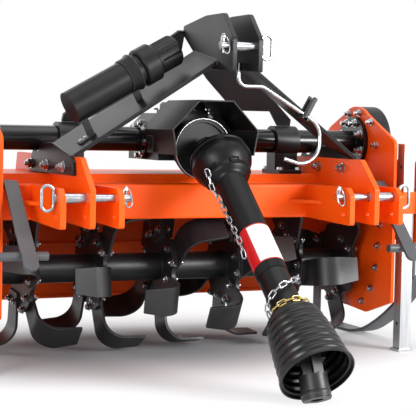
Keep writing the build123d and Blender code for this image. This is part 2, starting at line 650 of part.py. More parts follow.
def lower_guard():
    return turned([(lower_tube_r - 4, lower_tube_start), (lower_tube_r, lower_tube_start),
                   (lower_tube_r, bellows_start + 30), (lower_tube_r - 4, bellows_start + 30)], joint, shaft_dir)


def bellows():
    """Ribbed rubber cone that shields the rear joint."""
    neck, end = lower_tube_r, bellows_end
    mouth = bellows_r - 6
    first = bellows_start + 34
    pitch = (end - 16 - first) / rib_count
    outer = [(neck + 7, bellows_start), (neck + 8, bellows_start + 22)]
    for i in range(rib_count):
        r = neck + 20 + (mouth - neck - 20) * sqrt(i / (rib_count - 1))
        base = first + pitch * i
        outer += [(r - 2, base), (r, base + pitch * 0.2), (r, base + pitch * 0.55), (r - 6, base + pitch * 0.8)]
    outer += [(bellows_r, end - 10), (bellows_r, end)]
    inner = [(r - bellows_wall, d) for r, d in outer[2:]][::-1]
    inner = inner[:-1] + [(neck + 14, bellows_start + 40), (neck, bellows_start + 30), (neck, bellows_start)]
    return turned(outer + inner, joint, shaft_dir)


def lower_core():
    back = shaft_length - 52
    shape = fork(rear_joint, -shaft_dir, Vector(1, 0, 0), 30, 52, 66)
    shape += rod(along(bar_start), along(back), bar_r)
    flange = turned([(bar_r - 2, bellows_start + 12), (lower_tube_r - 4, bellows_start + 12),
                     (lower_tube_r - 4, bellows_start + 24), (bar_r - 2, bellows_start + 24)], joint, shaft_dir)
    return shape + flange


def end_yoke():
    shape = fork(rear_joint, yoke_dir, yoke_up, yoke_r, 50, yoke_length)
    return shape - rod(rear_joint + yoke_dir * 56, rear_joint + yoke_dir * (yoke_length + 1), spline_r)


def link_face(length, inset):
    """Long octagon, drawn inwards by an inset."""
    a, b, cut = length / 2 - inset, link_width / 2 - inset, link_cut - inset * 0.9
    corners = [(a, cut - b), (a, b - cut), (a - cut, b), (cut - a, b),
               (-a, b - cut), (-a, cut - b), (cut - a, -b), (a - cut, -b)]
    return make_face(Polyline(*corners, close=True))


def chain(corners):
    """Links along a curve round the drive shaft, through (distance, degrees round it, radius) corners."""
    def spot(distance, angle, radius):
        return along(distance) + Vector(1, 0, 0) * (radius * cos(radians(angle))) + shaft_up * (
            radius * sin(radians(angle)))
    path = Spline(*[spot(*corner) for corner in corners])
    count = int(path.length / link_pitch) + 1
    length = path.length / count + 2 * link_wire + link_slack
    link = extrude(link_face(length, 0) - link_face(length, link_wire), link_wire / 2, both=True)
    links = []
    for i in range(count):
        centre, run = path @ ((i + 0.5) / count), path % ((i + 0.5) / count)
        out = centre - joint
        out = out - shaft_dir * out.dot(shaft_dir)
        plane = Plane(origin=centre, x_dir=run, z_dir=out - run * out.dot(run))
        links.append(plane * Rot(45 if i % 2 else -45, 0, 0) * link)
    return Compound(links)


# ---- tool canister and hook ---------------------------------------------------------------------
can_start = Vector(-469, 125, 758)
can_end = Vector(-141, 137, 939)
can_dir = (can_end - can_start).normalized()


left_normal = Vector(-arm_normal.X, arm_normal.Y, arm_normal.Z)      # across the left mast arm
if left_normal.Z < 0:
    left_normal = -left_normal
knob_start = can_end - can_dir * knob_length
lid_start = knob_start - can_dir * lid_collar_length


def canister():
    return rod(can_start, lid_start + can_dir * lid_overlap, canister_r)


def canister_cap():
    """Screw lid: a wide collar over the body's end and a fluted knob with a rounded end."""
    collar = rod(lid_start, knob_start, lid_collar_r)
    collar = fillet(collar.edges().filter_by(GeomType.CIRCLE), 6)
    knob = rod(knob_start - can_dir * 8, can_end, canister_r)
    knob = fillet(knob.edges().filter_by(GeomType.CIRCLE).sort_by(Axis(can_start, can_dir))[-1], 14)
    around = Plane(origin=knob_start, x_dir=left_normal.cross(can_dir), z_dir=can_dir)
    for i in range(knob_flutes):
        knob -= around * Rot(0, 0, 360 / knob_flutes * (i + 0.5)) * Pos(canister_r + flute_r * 0.6, 0, 10) * extrude(
            Circle(flute_r), knob_length)
    lid = collar + knob
    return lid - rod(lid_start - can_dir, lid_start + can_dir * (lid_overlap + lid_gap), canister_r + lid_gap)


def canister_rail():
    """Flat bar on the left mast arm, whose two blocks and straps hold the canister."""
    arm_face = Vector(-arm_top_front.X, arm_top_front.Y, arm_top_front.Z) + left_normal * (mast_t / 2)
    start = can_start - can_dir * 30
    start = start - left_normal * (start - arm_face).dot(left_normal)
    run = (can_dir - left_normal * can_dir.dot(left_normal)).normalized()
    bar = Plane(origin=start, x_dir=run, z_dir=left_normal)
    length = 24 + (lid_start - can_start).length
    shape = bar * Pos(length / 2, 0, rail_t / 2) * Box(length, rail_width, rail_t)
    for distance in (34, 175):
        low, high = can_start + can_dir * distance, can_start + can_dir * (distance + 26)
        shape += rod(low, high, canister_r + strap_t)
        shape += bar * Pos(distance + 43, 0, 30) * Box(26, rail_width - 4, 60)
    return shape - rod(can_start - can_dir * 60, lid_start, canister_r)


def hook_line(x):
    """Point on the rod's long straight stretch."""
    return (x, hook_y, hook_top_z + (x - hook_shoulder_x) * hook_slope)


def hook_rod():
    """Bent rod beside the right mast arm, with a round crook that carries the shaft when parked."""
    x = mast_x - mast_t / 2 - hook_r - pin_clearance
    middle = hook_line((hook_shoulder_x + hook_crook_x) / 2)
    start = (x, hook_y, hook_top_z + 66)
    upper = FilletPolyline(start, (x, hook_y, hook_top_z), hook_line(hook_shoulder_x), middle, radius=26)
    crook = FilletPolyline(middle, hook_line(hook_crook_x), (hook_crook_x, hook_y, hook_crook_z),
                           (hook_crook_x - 120, hook_y, hook_crook_z + 34), radius=60)
    path = Wire(upper.edges() + crook.edges())
    return sweep(Plane(origin=start, z_dir=path % 0) * Circle(hook_r), path)


def hook_fork():
    """Two fingers under the right mast arm's front edge, with the hook rod between them."""
    low, high = hook_line(fork_x + 10), hook_line(fork_x - 10)
    plane = Plane(origin=hook_line(fork_x), x_dir=Vector(*low) - Vector(*high), z_dir=(0, -1, 0))
    gap, reach = hook_r + 1, 62.0                 # past the rod, and back to the arm
    seat, tip = -hook_r - pin_clearance, 60.0     # under the rod, and the fingers' ends
    shape = plane * Pos(0, (tip - 16) / 2, -gap - finger_t / 2) * Box(finger_width, tip + 16, finger_t)
    shape += plane * Pos(0, (tip - 16) / 2, gap + finger_t / 2) * Box(finger_width / 2, tip + 16, finger_t)
    shape += plane * Pos(0, (seat - 16) / 2, (gap + finger_t - reach) / 2) * Box(
        finger_width, seat + 16, gap + finger_t + reach)
    return shape + plane * Pos(0, -3, -(gap + reach) / 2) * Box(finger_width, 26, reach - gap)


# ---- all nodes ----------------------------------------------------------------------------------
add("main_beam", main_beam())
add("hood", hood())
add("gearbox", gearbox())
add("input_fork", input_fork())
add("pto_guard", pto_guard())
add("top_link_pin", top_pin())
add("linch_pins", linch_pins())
add("gear_case", gear_case())
add("bearing_housing", bearing_housing())
add("board_pins", board_pins())
add("hook_rod", hook_rod())
add("canister", canister())
add("canister_rail", canister_rail())
add("canister_cap", canister_cap())
for name, side in sides:
    add("side_plate_" + name, side_plate(side))
    add("cross_tube_" + name, cross_tube(side))
    add("saddle_" + name, saddle(side))
    add("mast_" + name, mast_half(side))
    add("mast_brace_" + name, mast_brace(side))
    add("middle_plate_" + name, middle_plate(side))
    add("hitch_lugs_" + name, hitch_lugs(side))
    add("lower_pin_" + name, lower_pin(side))
    add("skid_" + name, skid(side))
    add("guard_rods_" + name, guard_rods(side))
    add("stand_bracket_" + name, stand_bracket(side))
    add("stand_leg_" + name, stand_leg(side))
parts["mast_right"] += hook_fork()
add("rotor_tube", rotor_tube())
add("trailing_board", trailing_board())
add("front_cross", joint_cross(joint, Vector(0, 0, 1), Vector(1, 0, 0)))
add("upper_guard", upper_guard())
add("upper_core", upper_core())
add("lower_guard", lower_guard())
add("lower_core", lower_core())
add("bellows", bellows())
add("rear_cross", joint_cross(rear_joint, Vector(1, 0, 0), yoke_up))
add("end_yoke", end_yoke())
add("guard_chain", chain([(121, 160, 83.5), (144, 174, 68.5), (170, 184, 64), (205, 190, 55), (250, 191, 52.6),
                          (300, 188, 52.6), (350, 184, 52.6), (395, 184, 52.6), (430, 200, 52.6)]))
add("tether_chain", chain([(552, 34, 58.5), (582, 68, 58.5), (604, 122, 58.5), (622, 164, 57.5), (650, 208, 52.8)]))
add("bellows_chain", chain([(651, 166, 54.9), (652, 128, 54.9), (650, 90, 54.9), (648, 50, 54.9), (648, 10, 54.9)]))

os.makedirs("parts", exist_ok=True)
for node, shape in parts.items():
    export_step(Pos(0, -middle_y, 0) * shape, f"parts/{node}.step")
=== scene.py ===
import json
import math
import bmesh
import bpy
import numpy as np
from mathutils import Matrix, Vector


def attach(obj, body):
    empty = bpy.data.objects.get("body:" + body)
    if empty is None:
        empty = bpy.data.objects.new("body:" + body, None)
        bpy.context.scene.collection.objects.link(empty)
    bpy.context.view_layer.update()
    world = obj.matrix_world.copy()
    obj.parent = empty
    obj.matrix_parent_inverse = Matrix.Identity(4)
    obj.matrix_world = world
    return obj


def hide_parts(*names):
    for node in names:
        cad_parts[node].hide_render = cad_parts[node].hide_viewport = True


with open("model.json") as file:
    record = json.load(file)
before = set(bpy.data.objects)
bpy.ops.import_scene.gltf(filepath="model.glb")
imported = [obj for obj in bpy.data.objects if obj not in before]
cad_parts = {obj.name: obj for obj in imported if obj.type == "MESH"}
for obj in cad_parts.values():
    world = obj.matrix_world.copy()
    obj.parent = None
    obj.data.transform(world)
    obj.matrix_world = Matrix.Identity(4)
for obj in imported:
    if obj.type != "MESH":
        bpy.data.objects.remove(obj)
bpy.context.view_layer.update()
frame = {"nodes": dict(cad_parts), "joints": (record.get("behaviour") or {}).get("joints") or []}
nodes = frame["nodes"]
joints = {joint["name"]: joint for joint in frame["joints"]}
print("frame loaded:", len(nodes), "nodes")


def linear(hexColour):
    # sRGB hex to linear light, as the shader sockets want it
    parts = [int(hexColour[i:i + 2], 16) / 255 for i in (1, 3, 5)]
    return tuple(c / 12.92 if c <= 0.04045 else ((c + 0.055) / 1.055) ** 2.4 for c in parts) + (1.0,)


def addNode(tree, kind, settings=None, links=None):
    # one node with its settings: a key that is an input's name or number sets that input, and links
    # join inputs to (node, output) pairs
    node = tree.nodes.new(kind)
    for key, value in (settings or {}).items():
        if isinstance(key, str) and hasattr(node, key):
            setattr(node, key, value)
        else:
            node.inputs[key].default_value = value
    for key, (source, output) in (links or {}).items():
        tree.links.new(source.outputs[output], node.inputs[key])
    return node


def newMaterial(name, settings):
    # a material with its Principled shader and object coordinates, ready for patterns
    material = bpy.data.materials.new(name)
    material.use_nodes = True
    tree = material.node_tree
    tree.nodes.clear()
    shader = addNode(tree, "ShaderNodeBsdfPrincipled", settings)
    output = addNode(tree, "ShaderNodeOutputMaterial")
    tree.links.new(shader.outputs["BSDF"], output.inputs["Surface"])
    coords = addNode(tree, "ShaderNodeTexCoord")
    return material, tree, shader, coords


def mottle(tree, coords, shader, dark, light, patchMm, rough, stretch=(1, 1, 1)):
    # slow cloudy change of colour, and of roughness between two values, over patches of patchMm
    scaled = addNode(tree, "ShaderNodeMapping", {"Scale": stretch}, {"Vector": (coords, "Object")})
    noise = addNode(tree, "ShaderNodeTexNoise", {"Scale": 1000 / patchMm, "Detail": 4.0, "Roughness": 0.6},
                    {"Vector": (scaled, "Vector")})
    ramp = addNode(tree, "ShaderNodeValToRGB", {}, {"Fac": (noise, "Fac")})
    for element, position, tone in zip(ramp.color_ramp.elements, (0.3, 0.7), (dark, light)):
        element.position, element.color = position, linear(tone)
    tree.links.new(ramp.outputs["Color"], shader.inputs["Base Color"])
    roughness = addNode(tree, "ShaderNodeMapRange", {"To Min": rough[0], "To Max": rough[1]},
                        {"Value": (noise, "Fac")})
    tree.links.new(roughness.outputs["Result"], shader.inputs["Roughness"])
    return ramp


def paintedEdgeHighlight(tree, shader, ramp, tone, edgeMm, amount):
    # painted highlight along edges: where the surface turns within edgeMm, its colour goes towards the tone,
    # as if the edges caught more light
    rounded = addNode(tree, "ShaderNodeBevel", {"samples": 4, "Radius": edgeMm / 1000})
    flat = addNode(tree, "ShaderNodeNewGeometry")
    same = addNode(tree, "ShaderNodeVectorMath", {"operation": "DOT_PRODUCT"},
                   {0: (rounded, "Normal"), 1: (flat, "Normal")})
    edge = addNode(tree, "ShaderNodeMapRange", {"From Min": 0.985, "From Max": 0.8, "To Max": amount},
                   {"Value": (same, "Value")})
    # the painted edge highlight is mixed into the base colour
    mix = addNode(tree, "ShaderNodeMix", {"data_type": "RGBA", "B": linear(tone)},
                  {"Factor": (edge, "Result"), "A": (ramp, "Color")})
    tree.links.new(mix.outputs["Result"], shader.inputs["Base Color"])


def grainBump(tree, coords, shader, grainMm, depthMm, strength, edgeMm=0.0):
    # fine relief of grain grainMm and height depthMm, over edges that the light sees rounded to edgeMm
    noise = addNode(tree, "ShaderNodeTexNoise", {"Scale": 1000 / grainMm, "Detail": 2.0},
                    {"Vector": (coords, "Object")})
    bump = addNode(tree, "ShaderNodeBump", {"Strength": strength, "Distance": depthMm / 1000},
                   {"Height": (noise, "Fac")})
    if edgeMm:
        rounded = addNode(tree, "ShaderNodeBevel", {"samples": 4, "Radius": edgeMm / 1000})
        tree.links.new(rounded.outputs["Normal"], bump.inputs["Normal"])
    tree.links.new(bump.outputs["Normal"], shader.inputs["Normal"])


def orangePowderCoat():
    # baked polyester powder: glossy, with a slight orange peel and painted highlights along its cut edges
    material, tree, shader, coords = newMaterial("orangePowderCoat", {
        "IOR": 1.5, "Specular IOR Level": 0.18, "Coat Weight": 0.04, "Coat Roughness": 0.12})
    ramp = mottle(tree, coords, shader, "#F0500A", "#F65A0E", patchMm=190, rough=(0.28, 0.38))
    # painted highlight: edges go towards a pale orange
    paintedEdgeHighlight(tree, shader, ramp, "#FF9A55", edgeMm=2.2, amount=0.5)
    grainBump(tree, coords, shader, grainMm=3.2, depthMm=0.12, strength=0.22, edgeMm=2.2)
    return material


def sprayedEnamel(name, dark, light, rough, specular=0.4):
    # sprayed enamel over steel: faintly cloudy, with painted highlights along its edges
    material, tree, shader, coords = newMaterial(name, {"IOR": 1.5, "Specular IOR Level": specular})
    ramp = mottle(tree, coords, shader, dark, light, patchMm=120, rough=rough)
    # painted highlight: edges go towards a mid grey
    paintedEdgeHighlight(tree, shader, ramp, "#8E8E90", edgeMm=2.0, amount=0.55)
    grainBump(tree, coords, shader, grainMm=2.4, depthMm=0.1, strength=0.2, edgeMm=2.0)
    return material


def forgedTineSteel():
    # spring steel blades dipped in black paint, slightly uneven where they were forged
    material, tree, shader, coords = newMaterial("forgedTineSteel", {"IOR": 1.5})
    ramp = mottle(tree, coords, shader, "#131314", "#1E1E20", patchMm=60, rough=(0.34, 0.48))
    # painted highlight: blade edges go towards a mid grey
    paintedEdgeHighlight(tree, shader, ramp, "#808082", edgeMm=1.6, amount=0.5)
    grainBump(tree, coords, shader, grainMm=9, depthMm=0.5, strength=0.3, edgeMm=1.6)
    return material


def zincPlate(name, dark, light, rough):
    # electroplated zinc over machined steel: metallic, with soft cloudy patches
    material, tree, shader, coords = newMaterial(name, {"Metallic": 1.0})
    mottle(tree, coords, shader, dark, light, patchMm=14, rough=rough)
    grainBump(tree, coords, shader, grainMm=1.6, depthMm=0.05, strength=0.3)
    return material


def drawnZincTube():
    # galvanised square tube with fine lines along its draw direction, which is upright here
    material, tree, shader, coords = newMaterial("drawnZincTube", {"Metallic": 1.0})
    mottle(tree, coords, shader, "#A9ABAE", "#C9CBCD", patchMm=6, rough=(0.3, 0.42), stretch=(1, 1, 0.03))
    return material


def mouldedPolyethylene(name, dark, light, rough):
    # moulded guard plastic: even satin black with a fine skin texture
    material, tree, shader, coords = newMaterial(name, {"IOR": 1.5, "Specular IOR Level": 0.22})
    mottle(tree, coords, shader, dark, light, patchMm=45, rough=rough)
    grainBump(tree, coords, shader, grainMm=1.4, depthMm=0.08, strength=0.3)
    return material


def mouldedRubber():
    # soft thermoplastic rubber of the ribbed sleeve: satin, with a fine skin
    material, tree, shader, coords = newMaterial("mouldedRubber", {"IOR": 1.5, "Specular IOR Level": 0.35})
    mottle(tree, coords, shader, "#0E0E0F", "#151517", patchMm=30, rough=(0.24, 0.34))
    grainBump(tree, coords, shader, grainMm=1.8, depthMm=0.08, strength=0.25)
    return material


labelInk = {"paper": "#E4E4E2", "ink": "#B9151B", "edge": 0.03, "inkedEnd": 0.26}


def labelFilm():
    # blank adhesive film: white, with inked edges and one inked end, as shares of its width and length
    material, tree, shader, coords = newMaterial("blankLabelFilm", {"IOR": 1.46, "Roughness": 0.3})
    parts = addNode(tree, "ShaderNodeSeparateXYZ", {}, {"Vector": (coords, "UV")})
    middle = addNode(tree, "ShaderNodeMath", {"operation": "SUBTRACT", 1: 0.5}, {0: (parts, "Y")})
    away = addNode(tree, "ShaderNodeMath", {"operation": "ABSOLUTE"}, {0: (middle, "Value")})
    edge = addNode(tree, "ShaderNodeMath", {"operation": "GREATER_THAN", 1: 0.5 - labelInk["edge"]},
                   {0: (away, "Value")})
    end = addNode(tree, "ShaderNodeMath", {"operation": "GREATER_THAN", 1: 1 - labelInk["inkedEnd"]},
                  {0: (parts, "X")})
    inked = addNode(tree, "ShaderNodeMath", {"operation": "MAXIMUM"},
                    {0: (edge, "Value"), 1: (end, "Value")})
    tone = addNode(tree, "ShaderNodeMix", {
        "data_type": "RGBA", "A": linear(labelInk["paper"]), "B": linear(labelInk["ink"])},
        {"Factor": (inked, "Value")})
    tree.links.new(tone.outputs["Result"], shader.inputs["Base Color"])
    return material


orangePaint = orangePowderCoat()
blackSatin = sprayedEnamel("blackSatinEnamel", "#101011", "#161618", rough=(0.34, 0.46), specular=0.3)
blackGloss = sprayedEnamel("blackGlossEnamel", "#0B0B0C", "#101011", rough=(0.16, 0.24))
guardEnamel = sprayedEnamel("guardSheetEnamel", "#0D0D0E", "#131314", rough=(0.4, 0.5), specular=0.25)
greyEnamel = sprayedEnamel("greyEnamel", "#434447", "#4E4F52", rough=(0.36, 0.48))
forgedBlack = sprayedEnamel("forgedJointSteel", "#161617", "#242426", rough=(0.3, 0.5))
tineSteel = forgedTineSteel()
zinc = zincPlate("brightZinc", "#9C9FA3", "#C0C2C6", rough=(0.18, 0.32))
zincTube = drawnZincTube()
guardPlastic = mouldedPolyethylene("guardPolyethylene", "#08080A", "#0D0D0E", rough=(0.3, 0.4))
canisterPlastic = mouldedPolyethylene("canisterPolyethylene", "#121213", "#19191A", rough=(0.34, 0.46))
sleeveRubber = mouldedRubber()
yellowZinc = zincPlate("yellowZinc", "#B79A4C", "#D9C583", rough=(0.22, 0.36))
labelSkin = labelFilm()
print("materials made")

# the finish of each node, by the longest of these beginnings that its name has
finishes = {
    "main_beam": orangePaint, "hood": orangePaint, "side_plate": orangePaint, "middle_plate": orangePaint,
    "hitch_lugs": orangePaint, "stand_bracket": orangePaint, "trailing_board": orangePaint,
    "gearbox": blackSatin, "gear_case": blackSatin, "bearing_housing": blackSatin, "mast": blackSatin,
    "saddle": blackSatin, "canister_rail": blackSatin, "cross_tube": blackGloss, "pto_guard": guardEnamel,
    "rotor_tube": tineSteel, "skid": greyEnamel, "guard_rods": greyEnamel, "stand_leg": zincTube,
    "top_link_pin": zinc, "lower_pin": zinc, "linch_pins": zinc, "hook_rod": zinc, "board_pins": zinc,
    "guard_chain": zinc, "tether_chain": zinc, "bellows_chain": yellowZinc,
    "input_fork": forgedBlack, "front_cross": forgedBlack, "rear_cross": forgedBlack,
    "upper_core": forgedBlack, "lower_core": forgedBlack, "end_yoke": forgedBlack,
    "upper_guard": guardPlastic, "lower_guard": guardPlastic, "bellows": sleeveRubber,
    "canister": canisterPlastic, "canister_cap": canisterPlastic,
}
for name, obj in nodes.items():
    key = max((k for k in finishes if name.startswith(k)), key=len)
    obj.data.materials.clear()
    obj.data.materials.append(finishes[key])
print("nodes dressed")


hitchY = 146.0      # the lower hitch pins stand this far on the tractor's side of the frame's zero, in mm
toRight = np.array([1.0, 0, 0])


def inFrame(points):
    # places in millimetres from the lower hitch pins and the floor, in the frame's metres
    return (np.asarray(points, dtype=float) - [0, hitchY, 0]) / 1000


def jointPlace(name):
    # where a joint turns, in millimetres from the lower hitch pins and the floor
    return np.array(joints[name]["pos_m"]) * 1000 + [0, hitchY, 0]


def unit(vectors):
    # the same directions with a length of one
    vectors = np.asarray(vectors, dtype=float)
    return vectors / np.linalg.norm(vectors, axis=-1, keepdims=True)


def fullTurn(count):
    # evenly spaced angles round a circle
    return np.arange(count) * 2 * np.pi / count


rotorMiddle = jointPlace("rotor_spin")
shaftFront, shaftRear = jointPlace("shaft_swing"), jointPlace("yoke_lift")
# lines that round pieces follow: start, direction, and the direction at their angle zero
shaftLine = (shaftFront, unit(shaftRear - shaftFront), toRight)
yokeLine = (shaftRear, np.cross(toRight, joints["yoke_swing"]["axis"]), toRight)


def gridFaces(rows, columns, wrapRows=False, wrapColumns=True):
    # quads between neighbouring rows and columns of a grid of points
    r = np.arange(rows if wrapRows else rows - 1)[:, None]
    c = np.arange(columns if wrapColumns else columns - 1)[None, :]
    nextRow, nextColumn = (r + 1) % rows, (c + 1) % columns
    return np.stack([r * columns + c, r * columns + nextColumn, nextRow * columns + nextColumn,
                     nextRow * columns + c], -1).reshape(-1, 4)


def capFaces(rows, columns):
    # one many-sided face over the first row and one over the last
    return np.stack([np.arange(columns)[::-1], (rows - 1) * columns + np.arange(columns)])


def copiedFaces(faces, count, step):
    # the same faces for count copies of a template that has step points
    shift = (np.arange(count) * step)[:, None, None]
    return (faces[None] + shift).reshape(-1, faces.shape[1])


def newPiece(name, points, faces, material, body):
    # a mesh object from an array of points and lists of faces, riding on a body
    mesh = bpy.data.meshes.new(name)
    polygons = [corners for group in faces for corners in group.tolist()]
    mesh.from_pydata(np.asarray(points).reshape(-1, 3).tolist(), [], polygons)
    mesh.polygons.foreach_set("use_smooth", np.ones(len(mesh.polygons), dtype=bool))
    mesh.set_sharp_from_angle(angle=math.radians(35))
    mesh.materials.append(material)
    piece = bpy.data.objects.new(name, mesh)
    bpy.context.collection.objects.link(piece)
    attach(piece, body)
    return piece


def roundEdges(piece, modifierName, widthMm, fromDegrees):
    # every edge that turns more than the angle is rounded to the width
    bevel = piece.modifiers.new(modifierName, "BEVEL")
    bevel.width, bevel.segments = widthMm / 1000, 2
    bevel.limit_method, bevel.angle_limit = "ANGLE", math.radians(fromDegrees)


def turnedPoints(profile, sides, hexRows=()):
    # rows of (radius, height) carried round Z; a hex row's radius grows towards the corners of a hexagon
    profile = np.asarray(profile, dtype=float)
    angle = fullTurn(sides)
    radius = np.repeat(profile[:, :1], sides, axis=1)
    radius[list(hexRows)] /= np.cos(angle % (np.pi / 3) - np.pi / 6)
    height = np.repeat(profile[:, 1:], sides, axis=1)
    return np.stack([radius * np.cos(angle), radius * np.sin(angle), height], -1).reshape(-1, 3)


def spread(template, places, axes):
    # the template copied to every place, with its Z turned along every axis
    axes = unit(axes)
    helper = np.where(np.abs(axes[:, :1]) < 0.9, [[1.0, 0, 0]], [[0, 0, 1.0]])
    side = unit(np.cross(helper, axes))
    basis = np.stack([side, np.cross(axes, side), axes], 1)
    return template[None] @ basis + np.asarray(places, dtype=float)[:, None]


def turnedPieces(name, profile, places, axes, sides, body="frame", hexRows=()):
    # the same turned shape in zinc at many places, as one mesh
    template = turnedPoints(profile, sides, hexRows) / 1000
    rows, count = len(profile), len(places)
    faces = [copiedFaces(group(rows, sides), count, len(template)) for group in (gridFaces, capFaces)]
    return newPiece(name, spread(template, places, axes), faces, zinc, body)


hexagon = {
    # rows of (radius, height) in shares of the thread's size: the washer, then the hexagon and its chamfer
    "rows": [(1.0176, 0), (1.06, 0.048), (1.06, 0.128), (1.0176, 0.16), (0.816, 0.16), (0.8, 0.76),
             (0.72, 0.84)],
    "hexRows": (4, 5), "stud": 0.5, "studEnd": 0.4, "crown": 0.4,
}


def bolts(name, size, places, axes, body="frame", stud=0.0):
    # hexagon nuts with studs that stand out so far in millimetres, or heads without, along their axes
    profile = [(radius * size, height * size) for radius, height in hexagon["rows"]]
    top = profile[-1][1]
    if stud:
        thread, end = size * hexagon["stud"], size * hexagon["studEnd"]
        profile += [(thread, top), (thread, top + stud), (end, top + stud + 1)]
    else:
        profile += [(size * hexagon["crown"], top + 0.3)]
    return turnedPieces(name, profile, places, axes, sides=18, body=body, hexRows=hexagon["hexRows"])


def mirroredBolts(name, size, right, axis, stud=0.0):
    # bolts at places on the right half, standing along one axis, and their mirror images on the left half
    flip = np.array([-1, 1, 1])
    right = np.asarray(right, dtype=float)
    axes = np.repeat([flip * axis, axis], len(right), axis=0)
    return bolts(name, size, inFrame(np.concatenate([right * flip, right])), axes, stud=stud)


def wireRing(name, path, wireMm, reference):
    # a closed loop of round wire along the path, its section kept upright to the reference direction
    sides = 10
    run = unit(np.roll(path, -1, axis=0) - np.roll(path, 1, axis=0))
    side = unit(np.cross(run, reference))
    angle = fullTurn(sides)[:, None]
    section = side[:, None] * np.cos(angle) + np.cross(run, side)[:, None] * np.sin(angle)
    points = path[:, None] + section * (wireMm / 1000)
    return newPiece(name, points, [gridFaces(len(path), sides, wrapRows=True)], zinc, "frame")


def roundLine(line, distance, angle, radius):
    # places at a distance along a line, an angle round it and a radius from it
    start, run, across = line
    distance, angle, radius = np.broadcast_arrays(distance, angle, radius)
    around = np.cos(angle)[..., None] * across + np.sin(angle)[..., None] * np.cross(run, across)
    return inFrame(start + distance[..., None] * run + radius[..., None] * around)


def turnedOnLine(name, line, profile, material, body, sides=64):
    # rows of (radius, distance along the line) carried round it; the last row joins the first
    profile = np.asarray(profile, dtype=float)
    points = roundLine(line, profile[:, 1:], fullTurn(sides)[None], profile[:, :1])
    return newPiece(name, points, [gridFaces(len(profile), sides, wrapRows=True)], material, body)


def roundCorners(outline, radius):
    # each corner cut back by the radius on both sides and bowed out halfway to the corner
    outline = np.asarray(outline, dtype=float)
    first = outline + unit(np.roll(outline, 1, axis=0) - outline) * radius
    last = outline + unit(np.roll(outline, -1, axis=0) - outline) * radius
    return np.stack([first, (first + 2 * outline + last) / 4, last], 1).reshape(-1, outline.shape[1])


def sideView(x, outline):
    # an outline of (y, z) points, at a place along X
    return np.insert(np.asarray(outline, dtype=float), 0, x, axis=1)


def platesPiece(name, plates, edgeMm=1.5):
    # black plates, each an outline moved half its thickness to both sides, as one mesh with rounded edges
    points, faces, start = [], [], 0
    for outline, across in plates:
        outline, half = np.asarray(outline, dtype=float), np.asarray(across, dtype=float) / 2
        points += [outline - half, outline + half]
        faces += [gridFaces(2, len(outline)) + start, capFaces(2, len(outline)) + start]
        start += 2 * len(outline)
    piece = newPiece(name, inFrame(np.concatenate(points)), faces, blackSatin, "frame")
    shell = bmesh.new()
    shell.from_mesh(piece.data)
    bmesh.ops.recalc_face_normals(shell, faces=shell.faces)
    shell.to_mesh(piece.data)
    shell.free()
    roundEdges(piece, "dressedEdges", widthMm=edgeMm, fromDegrees=40)
    return piece


crossTube = {"y": 430, "z": 669}        # the middle of the two cross tubes

mast = {
    "clevisX": 41, "clevisThick": 14, "clevisCorner": 7,
    "clevis": [(-58, 870), (-58, 966), (12, 1040), (135, 1040), (300, 1018), (300, 990), (148, 884)],
    "footX": 466.5, "footThick": 12, "footCorner": 5,
    "foot": [(80, 566), (84, 604), (105.5, 624), (277, 658), (366, 656)],
    "footRear": [(470, 624), (492, 590), (501, 572), (496, 566)],
    "notchRadius": 44, "notchFrom": 204.9, "notchTo": 309.3, "notchPoints": 12,
    "armHigh": (47, 44.5, 907), "armLow": (466.5, 105.5, 624), "armRise": 0.2,
    "armWidth": 175, "armThick": 12,
}


def mastArm(side):
    # one arm's front corners high and low, the direction over its width, and its upward normal
    high, low = np.array(mast["armHigh"], dtype=float), np.array(mast["armLow"])
    width = unit([0, 1, mast["armRise"]])
    flip = np.array([side, 1, 1])
    return high * flip, low * flip, width, unit(np.cross(low - high, width)) * flip


# upright plates of the hook rod's fork: width, bottom, top, back and front from its place on the right arm
hookFork = {
    "place": (252, 60, 752.5), "lean": 29.54,
    "plates": [(26, -16, 60, -15, -7), (13, -16, 60, 7, 15), (26, -16, -6.3, -40, 15),
               (26, -16, 10, -40, -7)],
}


def hookForkPlates():
    # the fork stands square to the arm, and its plates lie across the direction of travel
    lean = math.radians(hookFork["lean"])
    run = np.array([math.cos(lean), 0, -math.sin(lean)])
    up = np.array([math.sin(lean), 0, math.cos(lean)])
    ahead = np.array([0, -1.0, 0])
    plates = []
    for wide, bottom, top, back, front in hookFork["plates"]:
        middle = hookFork["place"] + ahead * (back + front) / 2
        corners = [(-wide / 2, bottom), (wide / 2, bottom), (wide / 2, top), (-wide / 2, top)]
        plates.append(([middle + run * a + up * b for a, b in corners], ahead * (front - back)))
    return plates


def makeMast():
    # each half is one bent plate: clevis, sloping arm and bolted foot, notched round the cross tube
    m = mast
    clevis = roundCorners(m["clevis"], m["clevisCorner"])
    turn = np.radians(np.linspace(m["notchFrom"], m["notchTo"], m["notchPoints"]))
    notch = [crossTube["y"], crossTube["z"]] + m["notchRadius"] * np.stack([np.cos(turn), np.sin(turn)], -1)
    foot = np.concatenate([roundCorners(m["foot"], m["footCorner"])[:-1], notch, m["footRear"]])
    for side, half in ((-1, "left"), (1, "right")):
        high, low, width, normal = mastArm(side)
        arm = np.stack([high, high + width * m["armWidth"], low + width * m["armWidth"], low])
        plates = [(sideView(side * m["clevisX"], clevis), toRight * m["clevisThick"]),
                  (sideView(side * m["footX"], foot), toRight * m["footThick"]),
                  (arm - normal * m["armThick"] / 2, normal * m["armThick"])]
        if half == "right":
            plates += hookForkPlates()
        piece = platesPiece("mastPlate" + half.capitalize(), plates)
        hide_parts("mast_" + half)


canisterMount = {
    "start": (-469, 125, 758), "radius": 47, "thick": 5, "width": 26, "sunk": 0.5,
    "railFrom": 6, "railTo": 236, "posts": (16, 196), "postLong": 22,
    "tabReach": 34, "headSize": 6, "headsIn": (9, 25),
    "strapFrom": 190, "strapTo": 224, "strapClear": 0.4, "strapThick": 3.8,
    "flareThick": 8.6, "flareLong": 10,
}


